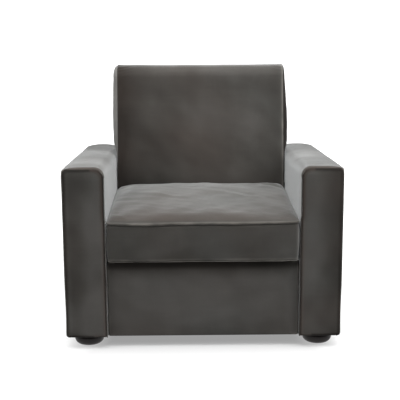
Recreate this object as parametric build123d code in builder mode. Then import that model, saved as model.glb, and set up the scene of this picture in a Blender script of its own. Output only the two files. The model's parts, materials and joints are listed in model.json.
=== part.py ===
from build123d import *
import os
from math import atan, cos, radians, sin, sqrt

os.makedirs("parts", exist_ok=True)

# Upholstered track-arm armchair with a tight back and one loose boxed seat cushion.
# Frame: origin on the floor under the middle of the chair, +X to the sitter's
# left-hand side as seen from the front, -Y to the front, +Z up.  Millimetres.

# ---------------------------------------------------------------- driving sizes
width = 914.0            # over the two arms
depth = 864.0            # arm fronts to the outside back
arm_front_z = 606.0      # top of the arm at its front edge
arm_rear_z = 553.0       # top of the arm at the rear: the arm falls towards the back
back_top_z = 883.0       # top of the back
skirt_z = 40.0           # lower edge of the fabric
arm_in_x = 318.3         # inner face of each arm, from the centre line
arm_r_in = 32.0          # rounding of the arm's inner top edge
arm_r_out = 20.0         # rounding of the arm's outer top edge
fabric = 2.0             # velvet with its backing
gap = 0.2                # between two soft layers
frame_z = 45.0           # underside of the wooden frame, above the dust cover

rake = atan(0.1925)      # lean of the inside back
rake_y, rake_z = 538.0, 449.0   # a point of the inside back's front plane

rail_t = 25.0            # thickness of every rail board
rail_top = 278.0         # top of the seat rails
deck_top = 297.5         # top of the seat platform cloth

cush_x, cush_y0, cush_y1 = 313.6, 1.0, 504.0    # cushion half width, front, rear
cush_z0, cush_z1 = 298.0, 460.0                 # cushion bottom and crown
foot_x, foot_y_front, foot_y_rear = 385.0, 68.0, 796.0
foot_top = 44.0


def fy(d):
    """Y of a point d millimetres behind the arm fronts."""
    return d - depth / 2


def arm_top(d):
    """Height of the arm's top, d behind the arm fronts."""
    return arm_front_z + (arm_rear_z - arm_front_z) * d / depth


def back_y(z, off=0.0):
    """Distance behind the arm fronts of the inside back's plane moved back by off."""
    return rake_y + (z - rake_z) * 0.1925 + off / cos(rake)


def save(builder, name):
    builder.part.label = name
    export_step(builder.part, "parts/" + name + ".step")


def span(a, b):
    return (a + b) / 2, abs(b - a)


def board(x0, x1, d0, d1, z0, z1, mode=Mode.ADD):
    """A plain board between two x, two distances behind the arm fronts and two heights."""
    (cx, wx), (cy, wy), (cz, wz) = span(x0, x1), span(fy(d0), fy(d1)), span(z0, z1)
    with Locations((cx, cy, cz)):
        Box(wx, wy, wz, mode=mode)


def side_profile(points, x0, x1, mode=Mode.ADD):
    """Extrudes a side view polygon of (distance behind the arm fronts, z) from x0 to x1."""
    with BuildSketch(Plane.YZ.offset(min(x0, x1))) as outline:
        Polygon(*[(fy(d), z) for d, z in points], align=None)
    extrude(outline.sketch, amount=abs(x1 - x0), dir=(1, 0, 0), mode=mode)


def bore_x(x0, x1, d, z, r, mode=Mode.SUBTRACT):
    """A round hole or shaft along X."""
    cx, wx = span(x0, x1)
    with Locations(Location((cx, fy(d), z), (0, 90, 0))):
        Cylinder(r, wx, mode=mode)


def bore_y(x, d0, d1, z, r, mode=Mode.SUBTRACT):
    """A round hole or shaft along Y."""
    cy, wy = span(fy(d0), fy(d1))
    with Locations(Location((x, cy, z), (90, 0, 0))):
        Cylinder(r, wy, mode=mode)


def bore_z(x, d, z0, z1, r, mode=Mode.SUBTRACT):
    """A round hole or shaft along Z."""
    cz, wz = span(z0, z1)
    with Locations((x, fy(d), cz)):
        Cylinder(r, wz, mode=mode)


def arm_envelope(s, inset, d0, d1, z0):
    """The arm's outer form, moved in by inset: a long block with a falling top and two rounded top edges."""
    xa, xb = arm_in_x + inset, width / 2 - inset
    x0 = xa if s > 0 else -xb
    with BuildPart() as env:
        side_profile(
            [(d0, z0), (d1, z0), (d1, arm_top(d1) - inset), (d0, arm_top(d0) - inset)],
            x0, x0 + (xb - xa),
        )
        tops = (
            env.edges()
            .filter_by(lambda e: e.length > 500 and e.center().Z > 400)
            .sort_by(Axis.X)
        )
        inner, outer = (tops[0], tops[-1]) if s > 0 else (tops[-1], tops[0])
        fillet(inner, arm_r_in - inset)
        outer = (
            env.edges()
            .filter_by(lambda e: e.length > 500 and e.center().Z > 400)
            .sort_by(Axis.X)
        )
        fillet(outer[-1] if s > 0 else outer[0], arm_r_out - inset)
    return env.part


def arm_face(s, inset, top, d0, d1, z0):
    """The arm's front outline as a flat plate between two distances behind the arm fronts."""
    xa, xb = arm_in_x + inset, width / 2 - inset
    with BuildPart() as face:
        with BuildSketch(Plane.XZ.offset(-fy(d1))) as outline:
            with BuildLine():
                ri, ro, t = arm_r_in - inset, arm_r_out - inset, top - inset
                Polyline((s * xa, t - ri), (s * xa, z0), (s * xb, z0), (s * xb, t - ro))
                ThreePointArc(
                    (s * xb, t - ro),
                    (s * (xb - ro * (1 - sqrt(0.5))), t - ro * (1 - sqrt(0.5))),
                    (s * (xb - ro), t),
                )
                Line((s * (xb - ro), t), (s * (xa + ri), t))
                ThreePointArc(
                    (s * (xa + ri), t),
                    (s * (xa + ri * (1 - sqrt(0.5))), t - ri * (1 - sqrt(0.5))),
                    (s * xa, t - ri),
                )
            make_face()
        extrude(amount=d1 - d0)
    return face.part


def back_envelope(inset, half, bottom, rear):
    """The back's outer form above the seat, moved in by inset, seen from the side as a raked block."""
    top = back_top_z - inset
    with BuildPart() as env:
        side_profile(
            [(back_y(bottom, inset), bottom), (rear, bottom), (rear, top), (back_y(top, inset), top)],
            -half, half,
        )
        across = env.edges().filter_by(Axis.X).filter_by(lambda e: e.center().Z > top - 5)
        fillet(across.sort_by(Axis.Y)[0], 35.0 - inset)
        across = env.edges().filter_by(Axis.X).filter_by(lambda e: e.center().Z > top - 5)
        fillet(across.sort_by(Axis.Y)[-1], 14.0 - inset)
    return env.part


def cushion_form(inset, crown=0.0):
    """The boxed cushion's outer form, moved in by inset, and lowered on top by crown."""
    hx = cush_x - inset
    with BuildPart() as form:
        board(-hx, hx, cush_y0 + inset, cush_y1 - inset, cush_z0 + inset, cush_z1 - inset - crown)
        fillet(form.edges().filter_by(Axis.Z), 24.0 - inset)
        fillet(form.faces().sort_by(Axis.Z)[-1].edges(), max(34.0 - inset, 4.0))
        fillet(form.faces().sort_by(Axis.Z)[0].edges(), max(22.0 - inset, 3.0))
    return form.part


sides = (("left", -1), ("right", 1))
corners = (
    ("front_left", -1, foot_y_front),
    ("front_right", 1, foot_y_front),
    ("rear_left", -1, foot_y_rear),
    ("rear_right", 1, foot_y_rear),
)

# ---------------------------------------------------------------- feet
for name, s, d in corners:
    with BuildPart() as foot:
        with BuildSketch(Plane.XZ):
            with BuildLine():
                Polyline((0, foot_top), (0, 2.5), (31, 2.5))
                Spline((31, 2.5), (41.5, 6.6), (48.0, 15.5), (49.5, 26), (44.5, 39.5),
                       tangents=[(1, 0.10), (-0.6, 1)])
                Polyline((44.5, 39.5), (41, 41), (41, foot_top), (0, foot_top))
            make_face()
        revolve(axis=Axis.Z)
        with Locations((0, 0, foot_top)):
            Hole(4.05, 26)
    with BuildPart() as placed:
        with Locations((s * foot_x, fy(d), 0)):
            add(foot.part)
    save(placed, "foot_" + name)

with BuildPart() as foot_glides:
    with Locations(*[(s * foot_x, fy(d), 1.25) for _, s, d in corners]):
        Cylinder(20, 2.5)
    chamfer(foot_glides.edges().filter_by(GeomType.CIRCLE).group_by(Axis.Z)[0], 0.8)
save(foot_glides, "foot_glides")

with BuildPart() as hanger_bolts:
    with Locations(*[(s * foot_x, fy(d), 55) for _, s, d in corners]):
        Cylinder(4.0, 72)
    chamfer(hanger_bolts.edges().filter_by(GeomType.CIRCLE), 0.8)
save(hanger_bolts, "foot_hanger_bolts")

with BuildPart() as tee_nuts:
    for _, s, d in corners:
        bore_z(s * foot_x, d, 85.0, 86.6, 11.0, Mode.ADD)
        bore_z(s * foot_x, d, 73.0, 85.0, 5.0, Mode.ADD)
        bore_z(s * foot_x, d, 72.0, 88.0, 4.05)
save(tee_nuts, "foot_tee_nuts")

with BuildPart() as foot_blocks:
    for _, s, d in corners:
        d0, d1 = (54.2, 154.0) if d < 400 else (735.0, 835.7)
        board(s * 334.6, s * 454.4, d0, d1, frame_z + 0.1, 85.0)
        bore_z(s * foot_x, d, 40.0, 90.0, 5.1)
save(foot_blocks, "foot_blocks")

# ---------------------------------------------------------------- seat frame
bolt_ds, bolt_z = (150.0, 350.0, 560.0), 235.0      # arm to side rail
back_bolt_ds, back_bolt_z = (690.0, 800.0), 160.0   # back post to side rail
# glue blocks: (side, corner distance behind the arm fronts, which way they run, height, inner x)
glue = [(-1, 54.2, 1, 200.0, 309.1), (1, 54.2, 1, 200.0, 309.1),
        (-1, 835.7, -1, 62.0, 283.6), (1, 835.7, -1, 62.0, 283.6)]
glue_leg, glue_h, screw_in = 62.0, 55.0, 20.0

with BuildPart() as front_rail:
    board(-453, 453, 29.0, 54.0, 48.0, rail_top)
    for s, d, way, z, xi in glue[:2]:
        bore_y(s * (xi - screw_in), 33.0, 54.0, z + 15, 2.6)
save(front_rail, "front_rail")

with BuildPart() as spring_rail:
    board(-309.0, 309.0, 588.0, 613.0, 190.0, rail_top)
    fillet(spring_rail.faces().sort_by(Axis.Z)[-1].edges().filter_by(Axis.X), 3)
save(spring_rail, "spring_rail")

with BuildPart() as rear_rail:
    board(-283.7, 283.7, 836.0, 861.0, 50.0, 130.0)
    for s, d, way, z, xi in glue[2:]:
        bore_y(s * (xi - screw_in), 836.0, 856.0, z + 15, 2.6)
save(rear_rail, "rear_rail")

for side, s in sides:
    with BuildPart() as side_rail:
        board(s * 309.3, s * 334.3, 54.2, 861.0, 128.0, rail_top)
        for d in bolt_ds:
            bore_x(s * 300, s * 340, d, bolt_z, 4.2)
        for d in back_bolt_ds:
            bore_x(s * 300, s * 340, d, back_bolt_z, 4.2)
        for gs, d, way, z, xi in glue[:2]:
            if gs == s:
                bore_x(s * 309.3, s * 329.0, d + screw_in, z + 38, 2.6)
    save(side_rail, "side_rail_" + side)

with BuildPart() as corner_blocks:
    for s, d, way, z, xi in glue:
        with BuildSketch(Plane.XY.offset(z)):
            Polygon(
                (s * xi, fy(d)), (s * (xi - glue_leg), fy(d)), (s * xi, fy(d + way * glue_leg)),
                align=None,
            )
        extrude(amount=glue_h)
    for s, d, way, z, xi in glue:
        bore_y(s * (xi - screw_in), d, d + way * 60, z + 15, 2.6)
        bore_x(s * (xi - 60), s * xi, d + way * screw_in, z + 38, 2.6)
save(corner_blocks, "corner_blocks")

with BuildPart() as block_screws:
    for s, d, way, z, xi in glue:
        out = glue_leg - screw_in + 2.7
        bore_y(s * (xi - screw_in), d - way * 19, d + way * (out + 4), z + 15, 2.5, Mode.ADD)
        bore_y(s * (xi - screw_in), d + way * (out + 2), d + way * (out + 5), z + 15, 4.5, Mode.ADD)
        tip = 19 if way > 0 else 18
        bore_x(s * (xi + tip), s * (xi - out - 4), d + way * screw_in, z + 38, 2.5, Mode.ADD)
        bore_x(s * (xi - out - 2), s * (xi - out - 5), d + way * screw_in, z + 38, 4.5, Mode.ADD)
save(block_screws, "corner_block_screws")

# ---------------------------------------------------------------- seat springs
wire = 1.9
bars = 27
y_first, y_last = 41.5, 600.0
pitch = (y_last - y_first) / (bars - 1)
bar_half = 12.5
spring_z = rail_top + 0.4 + 1.6 + wire
with BuildPart() as one_spring:
    with BuildLine():
        for k in range(bars):
            x = bar_half if k % 2 == 0 else -bar_half
            y = fy(y_first + k * pitch)
            Line((-x, y, spring_z), (x, y, spring_z))
            if k < bars - 1:
                bulge = x + (pitch / 2 if x > 0 else -pitch / 2)
                ThreePointArc((x, y, spring_z), (bulge, y + pitch / 2, spring_z), (x, y + pitch, spring_z))
    with BuildSketch(Plane(origin=(-bar_half, fy(y_first), spring_z), z_dir=(1, 0, 0))):
        Circle(wire)
    sweep()
spring_xs = (-240.0, -120.0, 0.0, 120.0, 240.0)
with BuildPart() as seat_springs:
    with Locations(*[(x, 0, 0) for x in spring_xs]):
        add(one_spring.part)
save(seat_springs, "seat_springs")

with BuildPart() as spring_clips:
    for x in spring_xs:
        for d in (y_first, y_last):
            board(x - 9, x + 9, d - 9, d + 9, rail_top, rail_top + 1.6)
            board(x - 9, x + 9, d - 6, d + 6, rail_top + 1.6, rail_top + 7.6)
            bore_x(x - 20, x + 20, d, spring_z, wire + 0.15)
            board(x - 20, x + 20, d - 4.4, d + 4.4, rail_top + 1.7, rail_top + 6.4, Mode.SUBTRACT)
save(spring_clips, "spring_clips")

with BuildPart() as tie_wires:
    for d in (190.0, 320.0, 450.0):
        bore_x(-306, 306, d, spring_z - wire - 1.75, 1.6, Mode.ADD)
save(tie_wires, "spring_tie_wires")

with BuildPart() as deck_pad:
    board(-317.3, 317.3, 22.4, 612.0, rail_top + 9.0, deck_top - fabric - gap)
save(deck_pad, "deck_pad")

with BuildPart() as deck_cover:
    board(-317.6, 317.6, 22.4, 612.0, deck_top - fabric, deck_top)
save(deck_cover, "deck_cover")

# ---------------------------------------------------------------- front rail upholstery
with BuildPart() as rail_pad:
    board(-317.4, 317.4, 22.2, 28.8, 46.0, rail_top + 8.8)
save(rail_pad, "front_rail_pad")

with BuildPart() as rail_cover:
    board(-318.0, 318.0, 20.0, 22.0, skirt_z, deck_top)
save(rail_cover, "front_rail_cover")

# ---------------------------------------------------------------- arms
for side, s in sides:
    with BuildPart() as front_post:
        side_profile(
            [(8.4, frame_z + 0.2), (28.8, frame_z + 0.2), (28.8, arm_top(28.8) - 31), (8.4, arm_top(8.4) - 31)],
            s * 322.0, s * 454.6,
        )
    save(front_post, "arm_front_post_" + side)

    with BuildPart() as rear_post:
        side_profile(
            [(836.0, frame_z + 0.2), (861.0, frame_z + 0.2), (861.0, arm_top(861) - 31), (836.0, arm_top(836) - 31)],
            s * 334.6, s * 454.6,
        )
    save(rear_post, "arm_rear_post_" + side)

    with BuildPart() as top_rail:
        side_profile(
            [(29.0, arm_top(29) - 51), (835.8, arm_top(835.8) - 51), (835.8, arm_top(835.8) - 31), (29.0, arm_top(29) - 31)],
            s * 334.6, s * 454.6,
        )
    save(top_rail, "arm_top_rail_" + side)

    body = arm_envelope(s, fabric + gap, 8.3, 861.6, 30.0)
    with BuildPart() as top_pad:
        add(body)
        side_profile(
            [(-20, 0), (900, 0), (900, arm_top(900) - 30.6), (-20, arm_top(-20) - 30.6)],
            s * 300, s * 470, mode=Mode.SUBTRACT,
        )
    save(top_pad, "arm_top_pad_" + side)

    with BuildPart() as inner_pad:
        side_profile(
            [(8.3, 285.0), (861.6, 285.0), (861.6, arm_top(861.6) - 30.8), (8.3, arm_top(8.3) - 30.8)],
            s * (arm_in_x + fabric + gap), s * 334.4,
        )
        add(body, mode=Mode.INTERSECT)
        board(s * 321.8, s * 340, 0.0, 29.0, 200.0, 620.0, Mode.SUBTRACT)
    save(inner_pad, "arm_inner_pad_" + side)

    with BuildPart() as arm_cover:
        add(arm_envelope(s, 0.0, 2.1, 861.9, skirt_z))
        add(arm_envelope(s, fabric, -10.0, 880.0, 10.0), mode=Mode.SUBTRACT)
        side_profile(
            [(-20, 0), (900, 0), (900, arm_top(900) - 20.4), (-20, arm_top(-20) - 20.4)],
            s * 440, s * 470, mode=Mode.SUBTRACT,
        )
        board(s * 300, s * 330, 22.3, 900, 0, 285, Mode.SUBTRACT)
    save(arm_cover, "arm_cover_" + side)

    with BuildPart() as outer_panel:
        side_profile(
            [(2.1, skirt_z), (861.9, skirt_z), (861.9, arm_top(861.9) - 20.6), (2.1, arm_top(2.1) - 20.6)],
            s * (width / 2 - fabric), s * width / 2,
        )
    save(outer_panel, "arm_outer_panel_" + side)

    with BuildPart() as front_panel:
        add(arm_face(s, 0.0, arm_front_z, 0.0, fabric, skirt_z))
    save(front_panel, "arm_front_panel_" + side)

with BuildPart() as front_pads:
    for side, s in sides:
        add(arm_face(s, fabric + gap, arm_front_z - 0.6, fabric + gap, 8.1, frame_z + 0.2))
save(front_pads, "arm_front_pads")

with BuildPart() as inner_rails:
    for side, s in sides:
        board(s * 334.6, s * 359.6, 54.2, 835.8, 195.0, 275.0)
        for d in bolt_ds:
            bore_x(s * 330, s * 365, d, bolt_z, 4.2)
save(inner_rails, "arm_inner_rails")

with BuildPart() as bottom_rails:
    for side, s in sides:
        board(s * 429.6, s * 454.6, 154.4, 734.6, frame_z + 0.2, 115.0)
save(bottom_rails, "arm_bottom_rails")

# carriage bolts: three through each side rail into the arm, two through each back post
with BuildPart() as bolts:
    for side, s in sides:
        for d in bolt_ds:
            bore_x(s * 305.0, s * 370.0, d, bolt_z, 4.0, Mode.ADD)
            bore_x(s * 304.8, s * 309.2, d, bolt_z, 9.0, Mode.ADD)
        for d in back_bolt_ds:
            bore_x(s * 280.0, s * 345.0, d, back_bolt_z, 4.0, Mode.ADD)
            bore_x(s * 279.5, s * 283.9, d, back_bolt_z, 9.0, Mode.ADD)
save(bolts, "frame_bolts")

with BuildPart() as nuts:
    for side, s in sides:
        for d in bolt_ds:
            start = s * 359.8 if s > 0 else s * 366.3
            with BuildSketch(Plane.YZ.offset(start)):
                with Locations((fy(d), bolt_z)):
                    RegularPolygon(7.5, 6)
                    Circle(4.05, mode=Mode.SUBTRACT)
            extrude(amount=6.5)
        for d in back_bolt_ds:
            start = s * 334.5 if s > 0 else s * 341.0
            with BuildSketch(Plane.YZ.offset(start)):
                with Locations((fy(d), back_bolt_z)):
                    RegularPolygon(7.5, 6)
                    Circle(4.05, mode=Mode.SUBTRACT)
            extrude(amount=6.5)
save(nuts, "bolt_nuts")

# ---------------------------------------------------------------- back
knee = 449.0 + (614.0 - rake_y - 87.0 / cos(rake)) / 0.1925
for side, s in sides:
    with BuildPart() as back_post:
        side_profile(
            [(614.0, 50.0), (861.0, 50.0), (861.0, 850.0), (back_y(850, 87), 850.0), (614.0, knee)],
            s * 284.0, s * 309.1,
        )
        for d in back_bolt_ds:
            bore_x(s * 280, s * 312, d, back_bolt_z, 4.2)
        for gs, d, way, z, xi in glue[2:]:
            if gs == s:
                bore_x(s * 280, s * 302.5, d + way * screw_in, z + 38, 2.6)
    save(back_post, "back_post_" + side)

with BuildPart() as back_top_rail:
    side_profile(
        [(back_y(825, 87), 825.0), (861.0, 825.0), (861.0, 850.0), (back_y(850, 87), 850.0)],
        -283.8, 283.8,
    )
save(back_top_rail, "back_top_rail")

with BuildPart() as back_lower_rail:
    side_profile(
        [(back_y(302, 87), 302.0), (back_y(302, 112), 302.0), (back_y(356, 112), 356.0), (back_y(356, 87), 356.0)],
        -283.8, 283.8,
    )
save(back_lower_rail, "back_lower_rail")


def strap_plane(off):
    """Plane of the inside back, off millimetres behind its front; local y runs up the rake."""
    return Plane(
        origin=(0, fy(back_y(rake_z, off)), rake_z), x_dir=(1, 0, 0), z_dir=(0, -cos(rake), sin(rake))
    )


with BuildPart() as webbing:
    with BuildSketch(strap_plane(84.2)):
        with Locations((0, -40), (0, 80), (0, 200), (0, 320)):
            Rectangle(614, 50)
    extrude(amount=1.8)
    with BuildSketch(strap_plane(86.4)):
        with Locations((-190, 128), (-63, 128), (63, 128), (190, 128)):
            Rectangle(50, 540)
    extrude(amount=1.8)
save(webbing, "back_webbing")

with BuildPart() as back_foam:
    side_profile(
        [(back_y(299.4, 2.2), 299.4), (back_y(299.4, 82), 299.4), (back_y(849.8, 82), 849.8), (back_y(849.8, 2.2), 849.8)],
        -311.3, 311.3,
    )
    add(back_envelope(2.2, 311.3, 290.0, 861.5), mode=Mode.INTERSECT)
save(back_foam, "back_foam")

with BuildPart() as back_top_pad:
    add(back_envelope(2.2, 311.3, 400.0, 861.5))
    board(-400, 400, -50, 950, 0, 850.1, Mode.SUBTRACT)
save(back_top_pad, "back_top_pad")

with BuildPart() as back_cover:
    add(back_envelope(0.0, 313.5, 299.0, 861.9))
    add(back_envelope(fabric, 311.5, 250.0, 900.0), mode=Mode.SUBTRACT)
save(back_cover, "back_cover")

with BuildPart() as back_outer:
    for side, s in sides:
        add(arm_face(s, 0.0, arm_rear_z, depth - fabric, depth, skirt_z))
    board(-arm_in_x - 1, arm_in_x + 1, depth - fabric, depth, skirt_z, 520.0)
    board(-313.5, 313.5, depth - fabric, depth, 500.0, back_top_z - 14)
save(back_outer, "back_outer_panel")

# ---------------------------------------------------------------- underside
with BuildPart() as dust_cover:
    board(-452.0, 452.0, 22.4, 859.0, foot_top + 0.1, frame_z)
    for s in (-1, 1):
        board(s * 322.0, s * 452.0, 8.6, 22.4, foot_top + 0.1, frame_z)
    for _, s, d in corners:
        bore_z(s * foot_x, d, 40, 50, 5.1)
save(dust_cover, "dust_cover")

staple_w, staple_t = 10.0, 0.7
with BuildPart() as staples:
    edge_x = [-400 + 66.667 * i for i in range(13)]
    edge_d = [170 + 62.0 * i for i in range(10)]
    with Locations(*[(x, fy(34.0), foot_top - staple_t / 2) for x in edge_x if abs(abs(x) - foot_x) > 55]):
        Box(staple_w, 1.1, staple_t)
    with Locations(*[(x, fy(850.0), foot_top - staple_t / 2) for x in edge_x if abs(abs(x) - foot_x) > 55]):
        Box(staple_w, 1.1, staple_t)
    with Locations(*[(s * 442.0, fy(d), foot_top - staple_t / 2) for s in (-1, 1) for d in edge_d]):
        Box(1.1, staple_w, staple_t)
save(staples, "dust_cover_staples")

# ---------------------------------------------------------------- seat cushion
with BuildPart() as cushion_cover:
    add(cushion_form(0.0))
    add(cushion_form(fabric), mode=Mode.SUBTRACT)
save(cushion_cover, "cushion_cover")

with BuildPart() as cushion_wrap:
    add(cushion_form(fabric + gap))
    add(cushion_form(18.0, 16.0), mode=Mode.SUBTRACT)
save(cushion_wrap, "cushion_fibre_wrap")

with BuildPart() as cushion_core:
    add(cushion_form(18.0 + gap, 16.0))
save(cushion_core, "cushion_foam_core")

zip_z, zip_half = 366.0, 286.0
with BuildPart() as zipper_tape:
    board(-zip_half, zip_half, cush_y1, cush_y1 + 0.9, zip_z - 15, zip_z + 15)
    board(-zip_half, zip_half, cush_y1 + 0.9, cush_y1 + 2.9, zip_z - 2.6, zip_z + 2.6)
    board(-zip_half, -zip_half + 4, cush_y1 + 0.9, cush_y1 + 3.4, zip_z - 4.2, zip_z + 4.2)
    board(zip_half - 4, zip_half, cush_y1 + 0.9, cush_y1 + 3.4, zip_z - 4.2, zip_z + 4.2)
save(zipper_tape, "zipper_tape")

slider_x = -zip_half + 4.5 + 7.0
with BuildPart() as zipper_slider:
    board(slider_x - 7, slider_x + 7, cush_y1 + 3.3, cush_y1 + 4.9, zip_z - 5.4, zip_z + 5.4)
    fillet(zipper_slider.edges().filter_by(Axis.Y), 2.2)
    board(slider_x - 6, slider_x + 6, cush_y1 + 1.3, cush_y1 + 3.3, zip_z + 3.1, zip_z + 4.9)
    board(slider_x - 6, slider_x + 6, cush_y1 + 1.3, cush_y1 + 3.3, zip_z - 4.9, zip_z - 3.1)
    board(slider_x - 4.5, slider_x - 3.0, cush_y1 + 4.9, cush_y1 + 7.4, zip_z - 1.4, zip_z + 1.4)
    board(slider_x + 3.0, slider_x + 4.5, cush_y1 + 4.9, cush_y1 + 7.4, zip_z - 1.4, zip_z + 1.4)
    board(slider_x - 4.5, slider_x + 4.5, cush_y1 + 6.4, cush_y1 + 7.4, zip_z - 1.4, zip_z + 1.4)
save(zipper_slider, "zipper_slider")

# the pull: a cross pin in the slider's bridge, two arms and a slotted tab lying along the tape
hinge_d = cush_y1 + 5.65
with BuildPart() as zipper_pull:
    bore_z(slider_x, hinge_d, zip_z - 3.2, zip_z + 3.2, 0.45, Mode.ADD)
    for s in (-1, 1):
        board(slider_x - 0.4, slider_x + 8.0, hinge_d - 0.4, hinge_d + 0.4, zip_z + s * 1.8, zip_z + s * 3.4)
    board(slider_x + 6.4, slider_x + 27.0, hinge_d - 0.4, hinge_d + 0.4, zip_z - 3.4, zip_z + 3.4)
    fillet(zipper_pull.edges().filter_by(Axis.Y).sort_by(Axis.X)[-2:], 2.4)
    with Locations(Location((slider_x + 21.5, fy(hinge_d), zip_z), (90, 0, 0))):
        Cylinder(1.6, 4, mode=Mode.SUBTRACT)
save(zipper_pull, "zipper_pull")
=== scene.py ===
import json
import math

import bpy
import numpy as np
from mathutils import Matrix, Vector
from mathutils.geometry import delaunay_2d_cdt

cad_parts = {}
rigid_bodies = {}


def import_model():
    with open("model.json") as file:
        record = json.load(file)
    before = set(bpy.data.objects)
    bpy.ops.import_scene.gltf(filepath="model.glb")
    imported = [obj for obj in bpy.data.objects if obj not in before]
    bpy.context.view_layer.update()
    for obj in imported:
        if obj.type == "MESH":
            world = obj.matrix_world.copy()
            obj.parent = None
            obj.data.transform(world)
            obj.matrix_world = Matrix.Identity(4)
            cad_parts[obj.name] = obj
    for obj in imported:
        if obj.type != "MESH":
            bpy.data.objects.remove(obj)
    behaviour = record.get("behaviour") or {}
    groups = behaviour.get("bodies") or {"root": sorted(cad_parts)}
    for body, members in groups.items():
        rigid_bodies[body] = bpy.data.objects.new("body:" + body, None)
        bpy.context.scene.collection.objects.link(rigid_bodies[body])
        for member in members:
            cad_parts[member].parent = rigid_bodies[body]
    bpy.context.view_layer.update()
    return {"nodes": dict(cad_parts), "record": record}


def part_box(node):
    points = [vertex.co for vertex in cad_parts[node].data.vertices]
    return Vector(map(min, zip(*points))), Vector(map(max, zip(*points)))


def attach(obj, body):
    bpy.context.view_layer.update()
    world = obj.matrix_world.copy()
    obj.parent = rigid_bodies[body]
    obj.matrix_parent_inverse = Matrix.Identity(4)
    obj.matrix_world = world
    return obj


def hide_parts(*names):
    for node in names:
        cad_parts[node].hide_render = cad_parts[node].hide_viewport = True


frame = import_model()


# ------------------------------------------------------------------ sizes, in millimetres
def mm(node):
    lo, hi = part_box(node)
    return [c * 1000 for c in lo], [c * 1000 for c in hi]


arm_lo, arm_hi = mm("arm_cover_right")
face_lo, face_hi = mm("arm_front_panel_right")
out_lo, out_hi = mm("arm_outer_panel_right")
seat_lo, seat_hi = mm("cushion_cover")
back_lo, back_hi = mm("back_cover")
rear_lo, rear_hi = mm("back_outer_panel")
rail_lo, rail_hi = mm("front_rail_cover")
deck_lo, deck_hi = mm("deck_cover")

Y0 = face_lo[1]                      # plane of the arm fronts
Y1 = rear_hi[1]                      # plane of the outside back
DEPTH = Y1 - Y0
XI, XO = arm_lo[0], out_hi[0]        # inner and outer face of an arm
ZB, ZF = face_lo[2], face_hi[2]      # lower edge of the fabric, arm top at the front
SLOPE = 53.0 / 864.0                 # fall of the arm top towards the back
R_IN, R_OUT = 32.0, 4.0
LEAN = 0.1925                        # lean of the inside back, millimetres back per millimetre up
BACK_D = seat_hi[1] - Y0 + 34.0      # inside back at the height below
BACK_Z = 449.0
TOP = back_hi[2] + 12.0                # the stuffed top stands this much proud of the frame
BACK_X = back_hi[0]
SEAM_Z, CUSH_B = 426.0, seat_lo[2]
CX = seat_hi[0]
CF, CR = seat_lo[1] - Y0, seat_hi[1] - Y0


def arm_top(d):
    return ZF - SLOPE * np.asarray(d, float)


def back_d(z):
    return BACK_D + (np.asarray(z, float) - BACK_Z) * LEAN


# ------------------------------------------------------------------ shape helpers
def noise(p, size, seed, waves=16):
    """Smooth repeatable noise of about -1 to 1 at points p, with features of about that size."""
    r = np.random.RandomState(seed)
    out = np.zeros(len(p))
    for _ in range(waves):
        k = r.normal(size=3)
        k *= 2 * np.pi / (size * r.uniform(0.7, 1.7)) / np.linalg.norm(k)
        out += np.sin(p @ k + r.uniform(0, 2 * np.pi))
    return out / math.sqrt(waves / 2)


def roll(s, r):
    """Depth of a rounded edge of radius r at distance s from the edge."""
    s = np.clip(s, 0, r)
    return r - np.sqrt(np.maximum(r * r - (r - s) ** 2, 0))


def ease(t):
    t = np.clip(t, 0, 1)
    return t * t * (3 - 2 * t)


def rise(t, length, power=2.2):
    return 1 - (1 - np.clip(t / length, 0, 1)) ** power


def bump_at(p, q, centre, size, angle):
    """An elongated soft ridge at centre in the plane (p, q); size is (length, width)."""
    c, s = math.cos(math.radians(angle)), math.sin(math.radians(angle))
    u = ((p - centre[0]) * c + (q - centre[1]) * s) / size[0]
    v = (-(p - centre[0]) * s + (q - centre[1]) * c) / size[1]
    return np.exp(-0.5 * (u * u + v * v))


def dense(points, step):
    """A closed outline resampled at about that step."""
    pts = np.asarray(points, float)
    out = []
    for a, b in zip(pts, np.roll(pts, -1, 0)):
        n = max(1, int(round(np.linalg.norm(b - a) / step)))
        out += [a + (b - a) * i / n for i in range(n)]
    return np.array(out)


def arc(cx, cy, r, a0, a1, n=10):
    return [(cx + r * math.cos(math.radians(a)), cy + r * math.sin(math.radians(a)))
            for a in np.linspace(a0, a1, n)]


def edge_distance(p, outline):
    """Distance of each point of p to a closed outline, and whether it lies inside."""
    a, b = outline, np.roll(outline, -1, 0)
    ab = b - a
    best = np.full(len(p), 1e9)
    inside = np.zeros(len(p), bool)
    for i in range(0, len(p), 2000):
        q = p[i:i + 2000, None, :]
        t = np.clip(((q - a) * ab).sum(2) / (ab * ab).sum(1), 0, 1)
        near = a + t[..., None] * ab
        best[i:i + 2000] = np.sqrt(((q - near) ** 2).sum(2)).min(1)
        cross = (a[:, 1] > q[..., 1]) != (b[:, 1] > q[..., 1])
        with np.errstate(divide="ignore", invalid="ignore"):
            x = a[:, 0] + (q[..., 1] - a[:, 1]) * ab[:, 0] / ab[:, 1]
        inside[i:i + 2000] = (cross & (q[..., 0] < x)).sum(1) % 2 == 1
    return best, inside


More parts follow.
